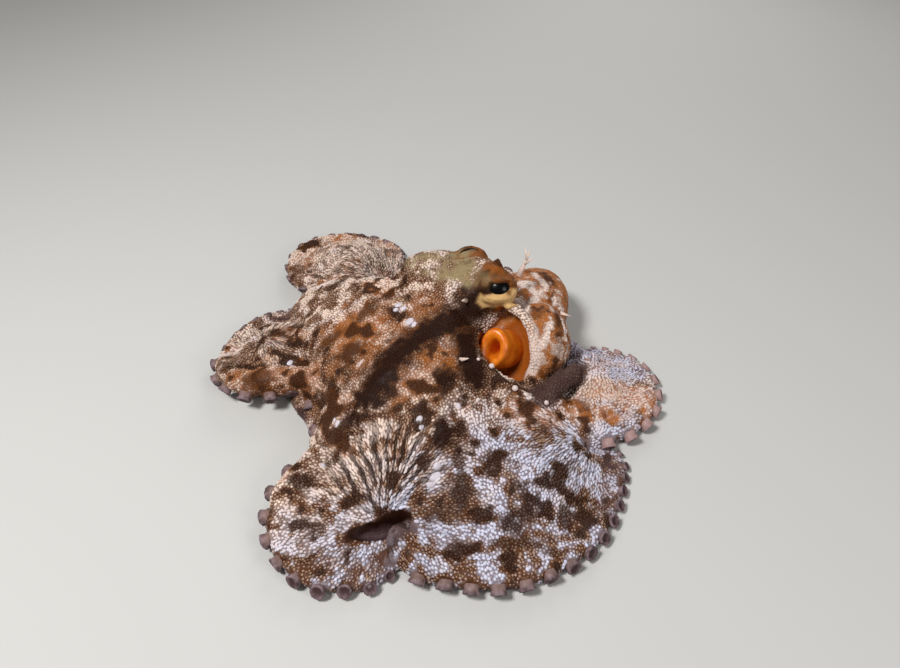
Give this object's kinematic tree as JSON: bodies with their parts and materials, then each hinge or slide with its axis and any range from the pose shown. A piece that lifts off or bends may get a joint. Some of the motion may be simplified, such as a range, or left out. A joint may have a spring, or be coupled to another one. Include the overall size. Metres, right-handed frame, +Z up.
{
  "type": "octopus",
  "caption": "Life-size still model of a common octopus resting flat with curled arms, spread web, raised head, mantle bag and orange funnel.",
  "frame": {"origin": "centre of the mouth's underside, on the floor", "axes": "+Z up, -X the way the head faces, -Y the animal's left side, +Y its right side, mantle towards +X +Y"},
  "size_m": [0.2593, 0.2823, 0.0665],
  "materials": {
    "skin": "wet granular skin: cream and bluish white granules on a brown ground, with dark brown blotches",
    "mantle_skin": "wet skin with orange-brown and pinkish white stripes",
    "funnel_skin": "smooth wet orange flesh",
    "eye": "glossy eyeball with an orange-brown iris and a black bar pupil"
  },
  "bodies": {
    "root": {"arm_left_1_base": "skin", "arm_left_1_middle": "skin", "arm_left_1_tip": "skin", "arm_left_2_base": "skin", "arm_left_2_middle": "skin", "arm_left_2_tip": "skin", "arm_left_3_base": "skin", "arm_left_3_middle": "skin", "arm_left_3_tip": "skin", "arm_left_4_base": "skin", "arm_left_4_middle": "skin", "arm_left_4_tip": "skin", "arm_right_1_base": "skin", "arm_right_1_middle": "skin", "arm_right_1_tip": "skin", "arm_right_2_base": "skin", "arm_right_2_middle": "skin", "arm_right_2_tip": "skin", "arm_right_3_base": "skin", "arm_right_3_middle": "skin", "arm_right_3_tip": "skin", "arm_right_4_base": "skin", "arm_right_4_middle": "skin", "arm_right_4_tip": "skin", "eye_left": "eye", "eye_right": "eye", "funnel": "funnel_skin", "head": "skin", "mantle": "mantle_skin", "mouth": "skin", "web_in_left_1_curl": "skin", "web_in_left_2_curl": "skin", "web_in_left_3_curl": "skin", "web_in_left_3_curl_2": "skin", "web_in_left_4_curl": "skin", "web_in_left_4_curl_2": "skin", "web_in_right_1_curl": "skin", "web_left_1_to_left_2": "skin", "web_left_2_to_left_3": "skin", "web_left_3_to_left_4": "skin", "web_left_4_to_right_4": "skin", "web_right_1_to_left_1": "skin", "web_right_2_to_right_1": "skin", "web_right_2_to_right_1_2": "skin", "web_right_2_to_right_1_3": "skin", "web_right_3_to_right_2": "skin", "web_right_3_to_right_2_2": "skin", "web_right_4_to_right_3": "skin", "web_right_4_to_right_3_2": "skin"}
  },
  "joints": []
}
